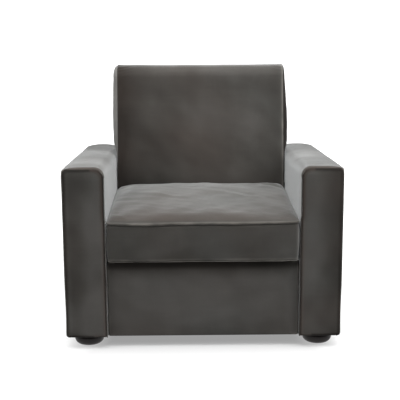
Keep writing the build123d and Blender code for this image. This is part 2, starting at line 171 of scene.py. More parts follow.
def fill(outline, step, rings):
    """Triangles over a closed anticlockwise outline, with rings of points close inside its edge."""
    t = np.roll(outline, -1, 0) - np.roll(outline, 1, 0)
    n = np.stack([-t[:, 1], t[:, 0]], 1) / np.linalg.norm(t, axis=1)[:, None]
    pts = [outline]
    for r in rings:
        ring = outline + n * r
        dist, ins = edge_distance(ring, outline)
        pts.append(ring[ins & (dist > r * 0.93)])
    lo, hi = outline.min(0), outline.max(0)
    rows = np.arange(lo[1] + step / 2, hi[1], step * 0.87)
    grid = []
    for k, y in enumerate(rows):
        xs = np.arange(lo[0] + step * (0.5 if k % 2 else 0.0), hi[0], step)
        grid += [(x, y) for x in xs]
    grid = np.array(grid)
    dist, ins = edge_distance(grid, outline)
    pts.append(grid[ins & (dist > (rings[-1] if rings else 0) + step * 0.6)])
    pts = np.concatenate(pts)
    count = len(outline)
    res = delaunay_2d_cdt([Vector(p) for p in pts], [(i, (i + 1) % count) for i in range(count)],
                          [list(range(count))], 1, 1e-5)
    out = np.array([tuple(v) for v in res[0]])
    source = [o[0] if o else -1 for o in res[3]]
    dist, _ = edge_distance(out, outline)
    faces = [tuple(f) for f in res[2]]
    return out, faces, dist, source


def grid_faces(n, m, close=False):
    """Quads over an n by m grid of points; close joins the last row to the first."""
    return [(i * m + j, ((i + 1) % n) * m + j, ((i + 1) % n) * m + j + 1, i * m + j + 1)
            for i in range(n if close else n - 1) for j in range(m - 1)]


velvet_pieces = []


def piece(name, verts, faces, body, nodes=(), shell=0.0, nap_and_light=None):
    """A mesh from millimetre points, smooth shaded, riding on a body. shell gives it a thickness inwards."""
    me = bpy.data.meshes.new(name)
    me.from_pydata([tuple(v) for v in np.asarray(verts) / 1000.0], [], [tuple(f) for f in faces])
    me.validate()
    me.update()
    me.polygons.foreach_set("use_smooth", [True] * len(me.polygons))
    ob = bpy.data.objects.new(name, me)
    bpy.context.scene.collection.objects.link(ob)
    if nap_and_light is not None:
        att = me.color_attributes.new("nap_and_light", "FLOAT_COLOR", "POINT")
        rgba = np.ones((len(me.vertices), 4), np.float32)
        rgba[:, :3] = np.clip(nap_and_light, 0, 1)
        att.data.foreach_set("color", rgba.ravel())
        velvet_pieces.append(ob)
    if shell:
        mod = ob.modifiers.new("cloth_thickness", "SOLIDIFY")
        mod.thickness = shell / 1000.0
        mod.offset = -1
        mod.use_rim = True
    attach(ob, body)
    if nodes:
        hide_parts(*nodes)
    return ob


def nap_and_light_of(p, seed, edge=None, warm=0.0, light=0.0, ridge_highlight_amount=1.0):
    """Velvet shading map: red is the pile's own tone with painted light and shade added through light, green how brown
    it looks, with warm adding the cloth's brown tone and a painted brown sheen tint at rolled edges, blue a painted
    highlight along the ridges at the seams.
    """
    pile_tone_and_light = 0.5 + 0.055 * noise(p, 240, seed) + 0.030 * noise(p, 80, seed + 1) + light
    brown = 0.24 + 0.09 * noise(p, 260, seed + 2) + warm
    ridge_highlight = np.zeros(len(p)) if edge is None else np.exp(-0.5 * ((edge - 4.0) / 2.2) ** 2)
    ridge_highlight = ridge_highlight * ridge_highlight_amount * (0.75 + 0.25 * noise(p, 45, seed + 3))
    return np.stack([pile_tone_and_light, brown, ridge_highlight], 1)


# ------------------------------------------------------------------ arms
def arm_outline(zt, r_out_end=45.0):
    """Inner face, rounded inner top edge, top and part of the outer rounding, as (x, z) with outward normals."""
    rows = []
    zi = np.concatenate([np.linspace(ZB, 285.0, 42), np.linspace(285.0, zt - R_IN, 46)[1:]])
    rows += [(XI, z, -1.0, 0.0) for z in zi]
    for a in np.linspace(180, 90, 11)[1:]:
        c, s = math.cos(math.radians(a)), math.sin(math.radians(a))
        rows.append((XI + R_IN + R_IN * c, zt - R_IN + R_IN * s, c, s))
    for x in np.linspace(XI + R_IN, XO - R_OUT, 17)[1:]:
        rows.append((x, zt, 0.0, 1.0))
    for a in np.linspace(90, 90 - r_out_end, 8)[1:]:
        c, s = math.cos(math.radians(a)), math.sin(math.radians(a))
        rows.append((XO - R_OUT + R_OUT * c, zt - R_OUT + R_OUT * s, c, s))
    return np.array(rows)


def build_arm(side, s):
    seed = 11 if s > 0 else 47
    ds = np.concatenate([[0.6, 1.0, 1.8, 2.8, 4.0, 5.5, 7.5, 10, 13.5, 18, 22],
                         np.linspace(28, DEPTH - 12, 116),
                         [DEPTH - 8, DEPTH - 5, DEPTH - 3.4, DEPTH - 2.2, DEPTH - 1.3, DEPTH - 0.7]])
    n_out = len(arm_outline(ZF))
    verts, nap_and_light = np.zeros((len(ds), n_out, 3)), np.zeros((len(ds), n_out, 3))
    for i, d in enumerate(ds):
        o = arm_outline(float(arm_top(d)))
        length = np.concatenate([[0], np.cumsum(np.hypot(np.diff(o[:, 0]), np.diff(o[:, 1])))])
        to_outer = length[-1] - length
        zt = float(arm_top(d))
        p = np.stack([s * o[:, 0], np.full(n_out, Y0 + d), o[:, 1]], 1)
        on_top = ease(o[:, 3])
        across = np.clip((o[:, 0] - XI) / (XO - XI), 0, 1)
        crown = (8.0 + 2.0 * ease(d / 300.0)) * rise(XO - o[:, 0], 62, 2.3) * np.clip(o[:, 3], 0, 1)
        crown *= 1 - ease(d / 300.0) * (1 - rise(o[:, 0] - XI, 75, 2.0))
        height = np.clip((o[:, 1] - 285) / (zt - 285), 0, 1)
        side_puff = 1.6 * np.sin(np.pi * height) * np.clip(-o[:, 2], 0, 1) * ease(d / 60) * ease((DEPTH - d) / 60)
        push = crown + side_puff
        push += (0.5 * noise(p, 170, seed) * ease(d / 40) + 0.10 * noise(p, 60, seed + 5) * ease(d / 25)) * (0.35 + 0.65 * on_top)
        # soft pulls from the front corner of the arm
        push += 0.5 * bump_at(np.full(n_out, d), o[:, 0] * 1.0, (120, XI + 52), (70, 12), 8) * on_top
        push -= roll(d, 3.6 + 9.0 * np.clip(o[:, 3], 0, 1) * ease((XO - o[:, 0]) / 18.0)) + roll(DEPTH - d, 3.6)
        push -= roll(to_outer, 2.0)
        verts[i] = p + np.stack([s * o[:, 2] * push, np.zeros(n_out), o[:, 3] * push], 1)
        # the outer top corner is turned more roundly at the very front
        tuck = 4.6 * math.exp(-(d / 9.0) ** 2) * np.exp(-0.5 * ((XO - o[:, 0]) ** 2 + (zt - o[:, 1]) ** 2) / 7.0 ** 2)
        verts[i, :, 0] -= s * 0.7 * tuck
        verts[i, :, 2] -= 0.7 * tuck
        # painted light and shade on the wrap: lighter over the top, darker with a painted brown sheen tint where the
        # top turns over the front, and a painted highlight on the seam ridges
        front_roll = np.exp(-0.5 * (d / 8.0) ** 2) * np.clip(o[:, 3], 0, 1)
        ridge_highlight_amount = 0.8 if s < 0 else 0.0
        edge = np.minimum(d + 3.0 + 99 * (o[:, 3] > 0.75), np.where(s < 0, to_outer, to_outer + 1.5))
        nap_and_light[i] = nap_and_light_of(p, seed + 9, edge, 0.40 * front_roll, 0.20 + (0.17 if s < 0 else 0.13) * on_top - 0.26 * front_roll, max(ridge_highlight_amount, 0.35))
        # a dark painted seam line at the very front edge
        nap_and_light[i][:, 0] -= 0.35 * math.exp(-d / 1.6)
        # painted light over the rear of the top, lifting the shadow that the back casts there
        nap_and_light[i][:, 0] += 0.34 * ease((d - 600) / 70.0) * on_top
        # beside the cushion and the rail the wrap is painted darker and browner, as painted shade
        painted_shade_band = ease((452 - o[:, 1]) / 14.0) * math.exp(-(d / 24.0) ** 4)
        nap_and_light[i][:, 0] -= (0.72 if s > 0 else 0.56) * painted_shade_band
        nap_and_light[i][:, 1] += 0.34 * painted_shade_band
        if s > 0:
            nap_and_light[i][:, 2] *= on_top
    keep = []
    m = n_out
    for f in grid_faces(len(ds), m):
        i, j = divmod(f[0], m)
        if ds[i] > 33 and j < 41:
            continue
        keep.append(f[::-1] if s > 0 else f)
    used = sorted({v for f in keep for v in f})
    index = {v: k for k, v in enumerate(used)}
    keep = [tuple(index[v] for v in f) for f in keep]
    piece("arm_cover_" + side + "_velvet", verts.reshape(-1, 3)[used], keep, "chair",
          ["arm_cover_" + side], shell=1.8, nap_and_light=nap_and_light.reshape(-1, 3)[used])

    # front facing: the arm's outline, a little smaller, with its edge turned in all round
    xi, xo, zt = XI + (3.4 if s < 0 else 1.8), XO - 1.6, ZF + 2.2
    ri, ro, rb = R_IN - 1.5, 15.0, 9.0
    outline = ([(xi, ZB), (xo - rb, ZB)] + arc(xo - rb, ZB + rb, rb, -90, 0, 7)[1:]
               + arc(xo - ro, zt - ro, ro, 0, 90, 8) + arc(xi + ri, zt - ri, ri, 90, 180, 12))
    outline = dense(outline, 4.5)
    p2, faces, dist, _ = fill(outline, 6.0, [0.5, 1.2, 2.2, 3.6, 5.4, 8.0])
    p3 = np.stack([s * p2[:, 0], np.full(len(p2), Y0), p2[:, 1]], 1)
    out = 3.4 * (1 - np.exp(-dist / 16.0)) - roll(dist, 7.5)
    mid = (p2[:, 0] - (xi + xo) / 2) / ((xo - xi) / 2)
    out += 1.6 * (1 - mid ** 2) + 0.7 * noise(p3, 120, seed + 20) * ease(dist / 20)
    # the cloth is drawn a little tight beside the two upright seams
    pull = bump_at(p2[:, 0], p2[:, 1], (xo - 13, 180), (150, 3.2), 90) + bump_at(p2[:, 0], p2[:, 1], (xi + 15, 330), (160, 3.0), 90)
    out -= 0.5 * pull
    p3[:, 1] -= out
    # painted light and shade on the facing: lighter towards the chair's middle and towards the bottom, dimmer near the
    # top on the left, a dark painted line in the groove inside its rim, and a painted brown highlight on the ridge at
    # its inner edge
    inward = np.clip((xo - p2[:, 0]) / (xo - xi), 0, 1)
    if s < 0:
        light = -0.11 + 0.12 * np.exp(-0.5 * ((inward - 0.10) / 0.06) ** 2) + 0.58 * ease((inward - 0.12) / 0.85)
        light *= 0.45 + 0.55 * ease((ZF - 20 - p2[:, 1]) / 150.0)
    else:
        light = -0.30 + 0.50 * ease(inward / 0.75)
    light = np.minimum(light, 0.28)
    light += 0.13 * ease((300 - p2[:, 1]) / 150.0)
    light -= 1.25 * np.exp(-(dist / 7.0) ** 2)
    light += 0.55 * (inward > 0.7) * np.exp(-0.5 * ((dist - 6.5) / 2.6) ** 2) * ease((450 - p2[:, 1]) / 30.0)
    nap_and_light = nap_and_light_of(p3, seed + 30, None, 0.02 + 0.5 * (inward > 0.7) * np.exp(-0.5 * ((dist - 6.0) / 4.0) ** 2), light)
    nap_and_light[:, 0] = np.minimum(nap_and_light[:, 0], 0.82)
    nodes = ["arm_front_panel_" + side] + (["arm_front_pads"] if s > 0 else [])
    piece("arm_front_" + side + "_velvet", p3, [f if s > 0 else f[::-1] for f in faces], "chair",
          nodes, shell=1.6, nap_and_light=nap_and_light)

    # outside arm panel
    o1 = [(0.6, ZB), (DEPTH - 0.7, ZB), (DEPTH - 0.7, arm_top(DEPTH) - R_OUT * 0.30), (0.6, ZF - R_OUT * 0.30)]
    outline = dense(o1, 7.0)
    p2, faces, dist, _ = fill(outline, 9.5, [0.4, 1.0, 1.9, 3.0, 4.6, 7.0, 11.0])
    d, z = p2[:, 0], p2[:, 1]
    zt = arm_top(d)
    p3 = np.stack([np.full(len(d), s * XO), Y0 + d, z], 1)
    over = np.clip(z - (zt - R_OUT), 0, R_OUT * 0.72)
    off = -(R_OUT - np.sqrt(R_OUT ** 2 - over ** 2))
    off -= roll(np.minimum(d, DEPTH - d), 6.0) + roll(zt - R_OUT * 0.30 - z, 3.0) + roll(z - ZB, 11.0)
    low = np.clip((z - ZB) / (ZF - ZB), 0, 1)
    off += 2.6 * (1 - np.exp(-dist / 45.0)) - 2.0 * bump_at(d, z, (0, 120), (260, 55), 0)
    off += np.maximum((1.3 * noise(p3, 210, seed + 40) + 0.4 * noise(p3, 70, seed + 41)) * ease(dist / 30), -0.9)
    p3[:, 0] += s * off
    tuck = 4.6 * np.exp(-(d / 9.0) ** 2) * np.exp(-0.5 * ((zt - z) / 7.0) ** 2)
    p3[:, 0] -= s * 0.7 * tuck
    p3[:, 2] -= 0.7 * tuck
    # a painted highlight along the front and top edges; slightly lighter towards the top
    nap_and_light = nap_and_light_of(p3, seed + 50, np.minimum(d, zt - z), 0.0, 0.05 * low)
    piece("arm_outside_" + side + "_velvet", p3, [f if s > 0 else f[::-1] for f in faces], "chair",
          ["arm_outer_panel_" + side], shell=1.8, nap_and_light=nap_and_light)


# faces of the fillings come anticlockwise in (x, z) seen from the front, which is outward for the right arm's
# front; the outside panel is filled in (y, z), which seen from +x is anticlockwise too
for side, s in (("left", -1), ("right", 1)):
    build_arm(side, s)

# ------------------------------------------------------------------ front rail
RAIL_B = ZB - 1.5
outline = dense([(-rail_hi[0] + 0.4, RAIL_B), (rail_hi[0] - 0.4, RAIL_B), (rail_hi[0] - 0.4, 296.0), (-rail_hi[0] + 0.4, 296.0)], 7.0)
p2, faces, dist, _ = fill(outline, 8.0, [0.5, 1.2, 2.2, 3.6, 5.5, 8.5])
p3 = np.stack([p2[:, 0], np.full(len(p2), rail_lo[1]), p2[:, 1]], 1)
out = 3.2 * (1 - np.exp(-dist / 26.0)) - roll(np.minimum(rail_hi[0] - 0.4 - np.abs(p2[:, 0]), dist + 99), 5.0) - roll(p2[:, 1] - RAIL_B, 3.0)
out += (1.0 * noise(p3, 170, 301) + 0.3 * noise(p3, 60, 302)) * ease(dist / 30)
out -= 3.0 * ease((p2[:, 1] - 270) / 26)
p3[:, 1] -= out
# painted light and shade on the rail: lighter at mid height and at the right end, darker towards the bottom, and a
# painted shadow darkening the top under the cushion's overhang; a painted highlight on the ridges near the two ends
light = 0.19 + 0.10 * np.exp(-0.5 * ((p2[:, 1] - 170) / 60) ** 2) - 0.08 * ease((110 - p2[:, 1]) / 60) + 0.26 * ease((p2[:, 0] - 262) / 50)
light = light + 0.03 - 0.26 * ease((p2[:, 1] - 225) / 60)
light = light - 0.34 * ease((p2[:, 1] - 264) / 20)
nap_and_light = nap_and_light_of(p3, 310, np.where(np.abs(p2[:, 0]) > 290, dist, 99.0), 0.03, light, 0.7)
nap_and_light[:, 0] = np.minimum(nap_and_light[:, 0], 0.83)
piece("front_rail_velvet", p3, faces, "chair", ["front_rail_cover", "front_rail_pad"], shell=1.8, nap_and_light=nap_and_light)

# ------------------------------------------------------------------ seat platform under the cushion
outline = dense([(deck_lo[0] + 0.5, deck_lo[1] - Y0 + 2), (deck_hi[0] - 0.5, deck_lo[1] - Y0 + 2),
                 (deck_hi[0] - 0.5, deck_hi[1] - Y0 - 95), (deck_lo[0] + 0.5, deck_hi[1] - Y0 - 95)], 9.0)
p2, faces, dist, _ = fill(outline, 12.0, [1.0, 3.0, 6.0])
seam = p2[:, 1] - 118.0
z = deck_hi[2] - 0.9 - 1.4 * np.exp(-0.5 * (seam / 2.4) ** 2) - 3.0 * np.exp(-dist / 9.0)
p3 = np.stack([p2[:, 0], Y0 + p2[:, 1], z], 1)
p3[:, 2] += np.minimum(0.5 * noise(p3, 120, 330) - 0.6, 0)
piece("seat_deck_cloth", p3, faces, "chair", ["deck_cover", "deck_pad"], shell=1.4)

# ------------------------------------------------------------------ tight back: front and top in one run of cloth
R_TF, R_TR = 52.0, 12.0
FALL = 0.085                         # fall of the back's top towards the rear
lean = math.atan(LEAN)


def back_path():
    """Side view of the inside back and the top: (distance behind the arm fronts, z, normal d, normal z, run)."""
    nd, nz = -math.cos(lean), math.sin(lean)
    # centre of the top front rounding: R_TF inside both the raked plane and the top
    cz = TOP - R_TF
    cd = float(back_d(cz)) + R_TF / math.cos(lean)
    start_z = cz + R_TF * nz
    rows = [(float(back_d(z)), z, nd, nz) for z in np.linspace(back_lo[2], start_z, 100)]
    a0 = math.degrees(math.atan2(nz, nd))
    for a in np.linspace(a0, 90, 18)[1:]:
        c, s = math.cos(math.radians(a)), math.sin(math.radians(a))
        rows.append((cd + R_TF * c, cz + R_TF * s, c, s))
    for d in np.linspace(cd, DEPTH - R_TR, 24)[1:]:
        rows.append((d, TOP - FALL * (d - cd), FALL, 1.0))
    top = TOP - FALL * (DEPTH - R_TR - cd)
    for a in np.linspace(85, 4, 9)[1:]:
        c, s = math.cos(math.radians(a)), math.sin(math.radians(a))
        rows.append((DEPTH - R_TR + R_TR * c, top - R_TR + R_TR * s, c, s))
    rows = np.array(rows)
    run = np.concatenate([[0], np.cumsum(np.hypot(np.diff(rows[:, 0]), np.diff(rows[:, 1])))])
    return np.concatenate([rows, run[:, None]], 1)


path = back_path()
REAR_TOP = float(path[-9:, 1].max())   # height of the top's rear edge
w = BACK_X
xs = np.concatenate([[-w + t for t in (0, 0.5, 1.2, 2.2, 3.6, 5.6, 8.5, 12.5)], np.linspace(-w + 18, w - 18, 100),
                     [w - t for t in (12.5, 8.5, 5.6, 3.6, 2.2, 1.2, 0.5, 0)]])
fade_run = float(path[np.argmin(np.abs(path[:, 1] - (TOP - 20)) + 99 * (path[:, 2] > 0)), 4])
verts, nap_and_light = [], []
for d, z, nd, nz, run in path:
    p = np.stack([xs, np.full(len(xs), Y0 + d), np.full(len(xs), z)], 1)
    e = w - np.abs(xs)
    facing = max(0.0, -nd)
    up = np.clip((z - back_lo[2]) / (TOP - back_lo[2]), 0, 1)
    puff = 9.0 * rise(e, 150, 2.0) * math.sin(math.pi * min(1.0, 0.10 + 0.84 * up)) ** 0.7 * facing
    if z < 455:
        puff *= 0.35 + 0.65 * float(ease((z - 330) / 125.0))
    top_saddle = 1.4 * (np.abs(xs) / w) ** 2.5 * max(0.0, nz) * (1 if nz > 0.6 else 0)
    push = puff + top_saddle - roll(e, 3.6)
    push += (0.8 * noise(p, 160, 401) + 0.35 * noise(p, 60, 402)) * ease(e / 25) * (1 - 0.75 * max(0.0, nz))
    # gathers at the two top corners, where the cloth turns over the edge
    for sx, amp in ((-1, 1.0), (1, 0.45)):
        cx = sx * (w - 16)
        near = np.exp(-0.5 * (((xs - cx) / 26.0) ** 2 + ((z - (TOP - 22)) / 16.0) ** 2)) * (1 if nz > -0.2 else 0)
        fan = np.sin((z - TOP) * 0.62 + (xs - cx) * 0.10 * sx)
        push += 1.3 * amp * near * fan * ease(e / 4.0)
    # rear edge tucked into the outside back's seam
    push -= roll(path[-1, 4] - run, 3.0) * 1.0
    q = p.copy()
    q[:, 1] += nd * push
    q[:, 2] += nz * push
    verts.append(q)
    # painted light and shade across the inside back: darker towards the left edge with a light strip on it, lighter
    # towards the right edge with a painted highlight on its ridge, darker near the seat and towards both sides, lighter
    # over the top
    shade = (-0.52 * np.exp(-(e / 52.0)) + 0.50 * np.exp(-e / 4.0)) * (xs < 0) + 0.30 * np.exp(-e / 11.0) * (xs > 0) + 0.12 * np.exp(-0.5 * ((xs - 130) / 160) ** 2) * (0.7 + 0.3 * math.sin(z / 90))
    shade = shade - 0.16 * math.exp(-max(0.0, z - 455) / 75.0) - 0.05 - 0.09 * ease((np.abs(xs) - 150) / 130.0)
    shade = shade + 0.10 * math.exp(-0.5 * ((run - fade_run) / 22.0) ** 2) + 0.55 * float(ease((nz - 0.80) / 0.2))
    nap_and_light.append(nap_and_light_of(p, 410, np.where(xs > 0, e, 99.0), 0.08, shade, 1.0))
verts, nap_and_light = np.array(verts), np.array(nap_and_light)
piece("inside_back_velvet", verts.reshape(-1, 3), [f[::-1] for f in grid_faces(len(path), len(xs))], "chair",
      ["back_cover", "back_top_pad"], shell=1.8, nap_and_light=nap_and_light.reshape(-1, 3))

# side boxing of the back
side_outline = [(float(back_d(back_lo[2])), back_lo[2]), (DEPTH - 2.0, back_lo[2]), (DEPTH - 2.0, REAR_TOP - R_TR)]
side_outline += arc(DEPTH - R_TR - 2.0, REAR_TOP - R_TR, R_TR - 1.0, 0, 84, 6)[1:]
top_front = [(r[0], r[1]) for r in path[::-1] if r[2] < 0.0 and r[3] >= math.sin(lean) - 1e-9 and r[1] > TOP - 54]
side_outline += [(d + 0.6, z - 0.6) for d, z in top_front]
side_outline = dense(side_outline, 6.0)
for side, s in (("left", -1), ("right", 1)):
    p2, faces, dist, _ = fill(side_outline, 8.0, [0.5, 1.2, 2.2, 3.6, 5.6, 9.0])
    d, z = p2[:, 0], p2[:, 1]
    p3 = np.stack([np.full(len(d), s * (w - 0.6)), Y0 + d, z], 1)
    bulge = 4.0 + 15.0 * ease((z - 545) / 70.0) * (0.74 + 0.26 * np.sin(np.pi * np.clip((z - 560) / (TOP - 560), 0, 1)))
    if s > 0:
        bulge = bulge - 8.0 * ease((z - 640) / 210.0)
    off = bulge * (1 - np.exp(-dist / 7.5)) - roll(dist, 3.0)
    off += (0.5 * noise(p3, 110, 450 + s) + 0.3 * noise(p3, 45, 460 + s)) * ease(dist / 20)
    p3[:, 0] += s * off
    # the left boxing is painted lighter with a painted highlight on its edge ridge, the right boxing painted darker,
    # for the light falling on each side
    nap_and_light = nap_and_light_of(p3, 470 + s, dist if s < 0 else None, 0.0, 0.50 if s < 0 else -0.50, 0.6)
    piece("back_boxing_" + side + "_velvet", p3, [f if s > 0 else f[::-1] for f in faces], "chair",
          shell=1.6, nap_and_light=nap_and_light)

# ------------------------------------------------------------------ outside back, full width below the arms
k = 1.8
za = float(arm_top(DEPTH))
outline = [(-XO + k, ZB), (XO - k, ZB), (XO - k, za - 4.0)]
rim = arm_outline(za)
rim_crown = 10.0 * rise(XO - rim[:, 0], 62, 2.3) * np.clip(rim[:, 3], 0, 1) * rise(rim[:, 0] - XI, 75, 2.0)
rim_at = rim[:, :2] + rim[:, 2:] * (rim_crown - 2.4)[:, None]
outline += [tuple(q) for q in rim_at[(rim[:, 3] > 0.5) & (rim[:, 0] < XO - 6)][::-1]]
outline += [(BACK_X + 1.0, za - 18), (BACK_X - 1.0, REAR_TOP - R_TR + 3)]
outline += [(-x, z) for x, z in outline[2:][::-1]]
outline = dense(outline, 7.0)
p2, faces, dist, _ = fill(outline, 10.0, [0.5, 1.2, 2.2, 3.6, 5.6, 9.0])
p3 = np.stack([p2[:, 0], np.full(len(p2), Y1), p2[:, 1]], 1)
out = 2.2 * (1 - np.exp(-dist / 30.0)) - roll(dist, 3.6)
out += (0.9 * noise(p3, 220, 501) + 0.3 * noise(p3, 80, 502)) * ease(dist / 30)
p3[:, 1] += out
# a painted highlight on the ridges along all its edges
nap_and_light = nap_and_light_of(p3, 510, dist, 0.0, 0.0)
piece("outside_back_velvet", p3, [f[::-1] for f in faces], "chair", ["back_outer_panel"], shell=1.2,
      nap_and_light=nap_and_light)

# ------------------------------------------------------------------ loose seat cushion
RC = 12.0
top_wave_x = np.array([-330, -313, -250, -197, -150, -99, 24, 125, 220, 290, 313, 330.0])
top_wave_z = np.array([-3.4, -3.4, -6.8, -8.4, -7.4, -5.8, -5.0, -5.6, -4.0, -2.2, -1.6, -1.6])
bot_wave_x = np.array([-330, -313, -250, -197, -40, 140, 262, 296, 313, 330.0])
bot_wave_z = np.array([0.6, 0.6, -1.6, -2.4, 0.2, -0.4, -0.6, 0.8, 3.0, 3.0])


def smooth_interp(x, xs_, zs_):
    """Interpolation through points, smoothed by averaging over 30 mm."""
    out = np.zeros(len(x))
    for o in np.linspace(-18, 18, 7):
        out += np.interp(x + o, xs_, zs_)
    return out / 7


def front_weight(d):
    return np.exp(-np.clip(d - CF, 0, None) / 42.0)


def seam_height(x, d):
    w_front = front_weight(d)
    side_lift = 6.0 * ease((d - 60) / 300.0)
    return SEAM_Z + smooth_interp(x, top_wave_x, top_wave_z) * w_front + side_lift + 1.0 * np.sin(x / 47.0 + d / 61.0) * (1 - w_front)


def base_height(x, d):
    return CUSH_B + 2.6 + np.maximum(smooth_interp(x, bot_wave_x, bot_wave_z) * front_weight(d), -1.9)


def rear_flare(z):
    """How far the rear boxing leans towards the inside back above the zip."""
    return 17.0 * ease((z - 384.0) / 44.0)


outline = (arc(-CX + RC, CF + RC, RC, 180, 270, 9) + arc(CX - RC, CF + RC, RC, 270, 360, 9)
           + arc(CX - RC - 3, CR - RC - 3, RC + 3, 0, 90, 9) + arc(-CX + RC + 3, CR - RC - 3, RC + 3, 90, 180, 9))
outline = dense(outline, 5.2)
count = len(outline)
tan = np.roll(outline, -1, 0) - np.roll(outline, 1, 0)
outward = np.stack([tan[:, 1], -tan[:, 0]], 1) / np.linalg.norm(tan, axis=1)[:, None]
ox, od = outline[:, 0], outline[:, 1]
zs_top, zs_bot = seam_height(ox, od), base_height(ox, od)
is_rear = ease((outward[:, 1] - 0.2) / 0.6)
corner = np.exp(-0.5 * (((np.abs(ox) - CX + 6) / 14.0) ** 2 + ((od - CF - 6) / 14.0) ** 2))


def ring(shift, z):
    """Outline points moved outward by shift and set at height z, with the rear leaning over."""
    q = np.zeros((count, 3))
    q[:, 0] = ox + outward[:, 0] * shift
    q[:, 1] = Y0 + od + outward[:, 1] * shift + is_rear * rear_flare(z)
    q[:, 2] = z
    return q


rows, row_edge, row_warm = [], [], []
# boxing from the lower seam to the upper seam; t runs 0 to 1 up the band
ts = np.concatenate([[0.0, 0.012, 0.03, 0.055], np.linspace(0.09, 0.91, 17), [0.945, 0.97, 0.988, 1.0]])
band_noise = np.zeros((len(ts), count))
for i, t in enumerate(ts):
    z = zs_bot + (zs_top - zs_bot) * t
    h = (zs_top - zs_bot)
    to_edge = np.minimum(t, 1 - t) * h
    swell = 2.3 * np.sin(np.pi * t) ** 0.7 + corner * 2.0 * np.sin(np.pi * t)
    flat_zip = is_rear * (np.abs(ox) < 296) * ease((26 - np.abs(z - 366)) / 10.0)
    swell = swell * (1 - np.clip(flat_zip, 0, 1)) - 0.6 * np.clip(flat_zip, 0, 1)
    side = np.abs(outward[:, 0]) > 0.7
    swell = np.where(side & (od > 24), np.minimum(swell, 1.2), swell)
    shift = swell - 1.8 * np.exp(-to_edge / 1.6)
    q = ring(shift, z)
    quiet = np.where(side & (od > 24), 0.15, 1.0) * (1 - np.clip(flat_zip, 0, 1))
    wob = (0.7 * noise(q, 120, 601) + 0.35 * noise(q, 42, 602)) * quiet * ease(to_edge / 8)
    q[:, 0] += outward[:, 0] * wob
    q[:, 1] += outward[:, 1] * wob
    rows.append(q)
    row_edge.append(to_edge)
# upper lip of the top panel: a rolled ridge just above the seam
lip_top = [(0.9, 0.9), (2.0, 2.4), (2.3, 4.4), (1.7, 6.6), (0.4, 8.6)]
for sh, up in lip_top:
    side = (np.abs(outward[:, 0]) > 0.7) & (od > 24)
    rows.append(ring(np.where(side, sh * 0.5, sh), zs_top + up))
    row_edge.append(np.full(count, 4.0))
band = np.array(rows)
nb = len(rows)


def top_height(x, d):
    """Height of the crowned top panel inside its lip."""
    tf, tside, tr = d - CF, CX - np.abs(x), CR + 17 - d
    hf = 0.50 * rise(tf, 60) + 0.50 * rise(tf, 230, 2.0)
    hs = 0.50 * rise(tside, 22) + 0.50 * rise(tside, 230, 2.0)
    hr = 0.66 * rise(tr, 26) + 0.34 * rise(tr, 170, 2.0)
    z = seam_height(x, d) + 8.6 + (25.5 - 6.0 * ease((d - 60) / 300.0)) * hf * hs * hr
    z += 12.5 * ease((d - 140) / 300.0) * rise(tside, np.where(x < 0, 75.0, 34.0), 2.0) * rise(tr, 24, 2.4)
    # soft creases and dents left by sitting
    z += 2.0 * bump_at(x, d, (40, 330), (95, 13), -32) - 1.7 * bump_at(x, d, (66, 352), (90, 12), -32)
    z += 1.7 * bump_at(x, d, (112, 300), (80, 12), -38) - 1.5 * bump_at(x, d, (138, 322), (70, 11), -40)
    z += 1.9 * bump_at(x, d, (-165, 300), (75, 14), -24) - 1.8 * bump_at(x, d, (-150, 270), (80, 12), -24)
    z += 1.2 * bump_at(x, d, (-215, 190), (60, 12), -15) - 1.2 * bump_at(x, d, (-240, 240), (70, 11), -12)
    z += 1.0 * bump_at(x, d, (215, 170), (70, 14), 14)
    for sx, a in ((-1, 1.0), (1, 1.0)):
        # short puckers running in from the front seam and the rear corners
        z += 1.6 * a * bump_at(x, d, (sx * 268, CF + 40), (42, 6), 52 * sx) - 1.3 * bump_at(x, d, (sx * 280, CF + 58), (42, 6), 50 * sx)
    z += 3.2 * bump_at(x, d, (262, 470), (40, 7), -42) - 3.4 * bump_at(x, d, (250, 452), (44, 6), -42)
    z -= 2.2 * bump_at(x, d, (-292, 455), (30, 9), 40)
    p = np.stack([x, d, np.zeros(len(x))], 1)
    edge = np.minimum(np.minimum(tf, tside), tr)
    z += (1.1 * noise(p, 130, 611) + 0.45 * noise(p, 52, 612)) * ease(edge / 40)
    z += 0.5 * np.sin(x / 5.6 + noise(p, 80, 613)) * np.exp(-np.clip(tf, 0, None) / 13.0) * ease(tf / 6) * (0.4 + 0.6 * ease(0.5 + noise(p, 160, 614)))
    return z


# top panel: filled over the lip's last ring
inner = outline + outward * 0.4
inner_out = inner.copy()
p2, faces2, dist, source = fill(inner_out, 6.0, [2.0, 4.2, 7.0, 10.5])
order = {}
for k_, src in enumerate(source):
    if 0 <= src < count:
        order[src] = k_
assert len(order) == count
top_pts = np.zeros((len(p2), 3))
x_, d_ = p2[:, 0], p2[:, 1]
# the rear of the top panel follows the lean
stretch = rear_flare(np.full(len(d_), 432.0)) * ease((d_ - 300) / (CR - 300))
top_pts[:, 0], top_pts[:, 1] = x_, Y0 + d_ + stretch
blend_in = ease(dist / 9.0)
zin = top_height(x_, d_ + stretch)
lip_z = seam_height(x_, d_) + 8.6
top_pts[:, 2] = np.where(dist < 9, lip_z + (zin - lip_z) * (0.35 + 0.65 * blend_in), zin)
top_pts[:, 2] = np.where(dist < 1e-6, lip_z, top_pts[:, 2])

